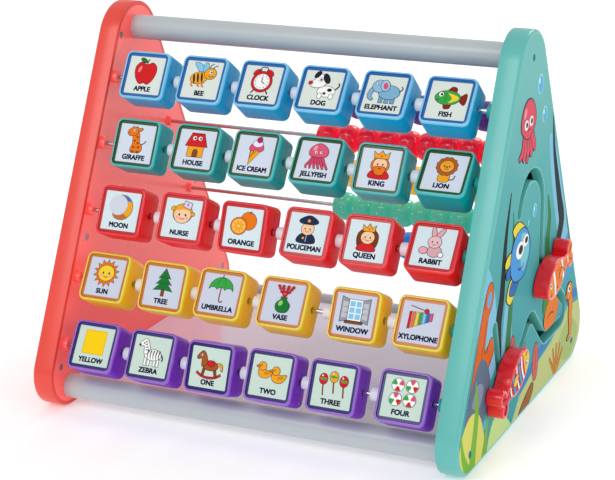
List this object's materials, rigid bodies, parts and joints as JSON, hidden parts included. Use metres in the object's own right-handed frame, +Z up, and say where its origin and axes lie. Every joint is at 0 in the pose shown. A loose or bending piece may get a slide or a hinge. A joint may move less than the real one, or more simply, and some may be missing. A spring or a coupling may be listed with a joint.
{
  "type": "activity triangle",
  "caption": "Baby activity toy: two triangular end panels on round bars, rows of turning picture blocks in front, sliding counting beads behind, and fish in a winding track.",
  "frame": {"origin": "middle of the toy's outer box, on the floor that it stands on", "axes": "+X to the right end panel with the track, +Y to the back with the bead rods, +Z up"},
  "size_m": [0.3554, 0.295, 0.2925],
  "materials": {
    "coral_shell": "gloss",
    "coral_cover": "gloss",
    "teal_shell": "gloss",
    "teal_cover": "gloss",
    "bar_plastic": "satin",
    "tray_plastic": "gloss",
    "rod_steel": "polished",
    "screw_steel": "satin",
    "spacer_plastic": "satin",
    "carriage_plastic": "satin",
    "fish_plastic": "gloss",
    "bead_purple": "gloss",
    "bead_red": "gloss",
    "bead_yellow": "gloss",
    "bead_green": "gloss",
    "bead_blue": "gloss",
    "block_blue": "gloss",
    "block_teal": "gloss",
    "block_red": "gloss",
    "block_yellow": "gloss",
    "block_purple": "gloss",
    "label_print": "satin",
    "panel_print": "satin"
  },
  "bodies": {
    "frame": {"left_shell": "coral_shell", "left_cover": "coral_cover", "right_shell": "teal_shell", "right_cover": "teal_cover", "top_bar": "bar_plastic", "front_bar": "bar_plastic", "back_bar": "bar_plastic", "base_tray": "tray_plastic", "block_rods": "rod_steel", "block_spacers": "spacer_plastic", "bead_rods": "rod_steel", "bar_screws": "screw_steel", "cover_screws": "screw_steel"},
    "block_a": {"block_a": "block_blue"},
    "block_b": {"block_b": "block_blue"},
    "block_c": {"block_c": "block_blue"},
    "block_d": {"block_d": "block_blue"},
    "block_e": {"block_e": "block_blue"},
    "block_f": {"block_f": "block_blue"},
    "block_g": {"block_g": "block_teal"},
    "block_h": {"block_h": "block_teal"},
    "block_i": {"block_i": "block_teal"},
    "block_j": {"block_j": "block_teal"},
    "block_k": {"block_k": "block_teal"},
    "block_l": {"block_l": "block_teal"},
    "block_m": {"block_m": "block_red"},
    "block_n": {"block_n": "block_red"},
    "block_o": {"block_o": "block_red"},
    "block_p": {"block_p": "block_red"},
    "block_q": {"block_q": "block_red"},
    "block_r": {"block_r": "block_red"},
    "block_s": {"block_s": "block_yellow"},
    "block_t": {"block_t": "block_yellow"},
    "block_u": {"block_u": "block_yellow"},
    "block_v": {"block_v": "block_yellow"},
    "block_w": {"block_w": "block_yellow"},
    "block_x": {"block_x": "block_yellow"},
    "block_y": {"block_y": "block_purple"},
    "block_z": {"block_z": "block_purple"},
    "block_one": {"block_one": "block_purple"},
    "block_two": {"block_two": "block_purple"},
    "block_three": {"block_three": "block_purple"},
    "block_four": {"block_four": "block_purple"},
    "purple_beads": {"purple_beads_left": "bead_purple", "purple_beads_right": "bead_purple"},
    "red_beads": {"red_beads_left": "bead_red", "red_beads_right": "bead_red"},
    "yellow_beads": {"yellow_beads_left": "bead_yellow", "yellow_beads_right": "bead_yellow"},
    "green_beads": {"green_beads_left": "bead_green", "green_beads_right": "bead_green"},
    "blue_beads": {"blue_beads_left": "bead_blue", "blue_beads_right": "bead_blue"},
    "upper_carriage": {"upper_carriage": "carriage_plastic"},
    "upper_fish": {"upper_fish": "fish_plastic"},
    "lower_carriage": {"lower_carriage": "carriage_plastic"},
    "lower_fish": {"lower_fish": "fish_plastic"}
  },
  "joints": [
    {"name": "block_a_turn", "type": "hinge", "parent": "frame", "child": "block_a", "pos_m": [-0.12865, -0.03613, 0.23952], "axis": [1, 0, 0], "continuous": true},
    {"name": "block_b_turn", "type": "hinge", "parent": "frame", "child": "block_b", "pos_m": [-0.07965, -0.03613, 0.23952], "axis": [1, 0, 0], "continuous": true},
    {"name": "block_c_turn", "type": "hinge", "parent": "frame", "child": "block_c", "pos_m": [-0.03065, -0.03613, 0.23952], "axis": [1, 0, 0], "continuous": true},
    {"name": "block_d_turn", "type": "hinge", "parent": "frame", "child": "block_d", "pos_m": [0.01835, -0.03613, 0.23952], "axis": [1, 0, 0], "continuous": true},
    {"name": "block_e_turn", "type": "hinge", "parent": "frame", "child": "block_e", "pos_m": [0.06735, -0.03613, 0.23952], "axis": [1, 0, 0], "continuous": true},
    {"name": "block_f_turn", "type": "hinge", "parent": "frame", "child": "block_f", "pos_m": [0.11635, -0.03613, 0.23952], "axis": [1, 0, 0], "continuous": true},
    {"name": "block_g_turn", "type": "hinge", "parent": "frame", "child": "block_g", "pos_m": [-0.12565, -0.05856, 0.19228], "axis": [1, 0, 0], "continuous": true},
    {"name": "block_h_turn", "type": "hinge", "parent": "frame", "child": "block_h", "pos_m": [-0.07465, -0.05856, 0.19228], "axis": [1, 0, 0], "continuous": true},
    {"name": "block_i_turn", "type": "hinge", "parent": "frame", "child": "block_i", "pos_m": [-0.02565, -0.05856, 0.19228], "axis": [1, 0, 0], "continuous": true},
    {"name": "block_j_turn", "type": "hinge", "parent": "frame", "child": "block_j", "pos_m": [0.02435, -0.05856, 0.19228], "axis": [1, 0, 0], "continuous": true},
    {"name": "block_k_turn", "type": "hinge", "parent": "frame", "child": "block_k", "pos_m": [0.07335, -0.05856, 0.19228], "axis": [1, 0, 0], "continuous": true},
    {"name": "block_l_turn", "type": "hinge", "parent": "frame", "child": "block_l", "pos_m": [0.12235, -0.05856, 0.19228], "axis": [1, 0, 0], "continuous": true},
    {"name": "block_m_turn", "type": "hinge", "parent": "frame", "child": "block_m", "pos_m": [-0.12765, -0.08099, 0.14503], "axis": [1, 0, 0], "continuous": true},
    {"name": "block_n_turn", "type": "hinge", "parent": "frame", "child": "block_n", "pos_m": [-0.07565, -0.08099, 0.14503], "axis": [1, 0, 0], "continuous": true},
    {"name": "block_o_turn", "type": "hinge", "parent": "frame", "child": "block_o", "pos_m": [-0.02465, -0.08099, 0.14503], "axis": [1, 0, 0], "continuous": true},
    {"name": "block_p_turn", "type": "hinge", "parent": "frame", "child": "block_p", "pos_m": [0.02635, -0.08099, 0.14503], "axis": [1, 0, 0], "continuous": true},
    {"name": "block_q_turn", "type": "hinge", "parent": "frame", "child": "block_q", "pos_m": [0.07335, -0.08099, 0.14503], "axis": [1, 0, 0], "continuous": true},
    {"name": "block_r_turn", "type": "hinge", "parent": "frame", "child": "block_r", "pos_m": [0.12335, -0.08099, 0.14503], "axis": [1, 0, 0], "continuous": true},
    {"name": "block_s_turn", "type": "hinge", "parent": "frame", "child": "block_s", "pos_m": [-0.13065, -0.10342, 0.09778], "axis": [1, 0, 0], "continuous": true},
    {"name": "block_t_turn", "type": "hinge", "parent": "frame", "child": "block_t", "pos_m": [-0.08065, -0.10342, 0.09778], "axis": [1, 0, 0], "continuous": true},
    {"name": "block_u_turn", "type": "hinge", "parent": "frame", "child": "block_u", "pos_m": [-0.03365, -0.10342, 0.09778], "axis": [1, 0, 0], "continuous": true},
    {"name": "block_v_turn", "type": "hinge", "parent": "frame", "child": "block_v", "pos_m": [0.01735, -0.10342, 0.09778], "axis": [1, 0, 0], "continuous": true},
    {"name": "block_w_turn", "type": "hinge", "parent": "frame", "child": "block_w", "pos_m": [0.07335, -0.10342, 0.09778], "axis": [1, 0, 0], "continuous": true},
    {"name": "block_x_turn", "type": "hinge", "parent": "frame", "child": "block_x", "pos_m": [0.12335, -0.10342, 0.09778], "axis": [1, 0, 0], "continuous": true},
    {"name": "block_y_turn", "type": "hinge", "parent": "frame", "child": "block_y", "pos_m": [-0.12965, -0.12585, 0.05053], "axis": [1, 0, 0], "continuous": true},
    {"name": "block_z_turn", "type": "hinge", "parent": "frame", "child": "block_z", "pos_m": [-0.08065, -0.12585, 0.05053], "axis": [1, 0, 0], "continuous": true},
    {"name": "block_one_turn", "type": "hinge", "parent": "frame", "child": "block_one", "pos_m": [-0.03165, -0.12585, 0.05053], "axis": [1, 0, 0], "continuous": true},
    {"name": "block_two_turn", "type": "hinge", "parent": "frame", "child": "block_two", "pos_m": [0.01735, -0.12585, 0.05053], "axis": [1, 0, 0], "continuous": true},
    {"name": "block_three_turn", "type": "hinge", "parent": "frame", "child": "block_three", "pos_m": [0.06635, -0.12585, 0.05053], "axis": [1, 0, 0], "continuous": true},
    {"name": "block_four_turn", "type": "hinge", "parent": "frame", "child": "block_four", "pos_m": [0.11935, -0.12585, 0.05053], "axis": [1, 0, 0], "continuous": true},
    {"name": "purple_beads_slide", "type": "slide", "parent": "frame", "child": "purple_beads", "axis": [-1, 0, 0], "range_m": [0, 0.132]},
    {"name": "red_beads_slide", "type": "slide", "parent": "frame", "child": "red_beads", "axis": [-1, 0, 0], "range_m": [0, 0.132]},
    {"name": "yellow_beads_slide", "type": "slide", "parent": "frame", "child": "yellow_beads", "axis": [-1, 0, 0], "range_m": [0, 0.132]},
    {"name": "green_beads_slide", "type": "slide", "parent": "frame", "child": "green_beads", "axis": [-1, 0, 0], "range_m": [0, 0.132]},
    {"name": "blue_beads_slide", "type": "slide", "parent": "frame", "child": "blue_beads", "axis": [-1, 0, 0], "range_m": [0, 0.132]},
    {"name": "upper_carriage_slide", "type": "slide", "parent": "frame", "child": "upper_carriage", "axis": [0, 0.79, -0.6131], "range_m": [0, 0.064]},
    {"name": "upper_fish_spin", "type": "hinge", "parent": "upper_carriage", "child": "upper_fish", "pos_m": [0.16515, 0.04196, 0.10061], "axis": [1, 0, 0], "continuous": true},
    {"name": "lower_carriage_slide", "type": "slide", "parent": "frame", "child": "lower_carriage", "axis": [0, -0.2907, 0.9568], "range_m": [-0.006, 0.044]},
    {"name": "lower_fish_spin", "type": "hinge", "parent": "lower_carriage", "child": "lower_fish", "pos_m": [0.16515, -0.06114, 0.04967], "axis": [1, 0, 0], "continuous": true}
  ]
}
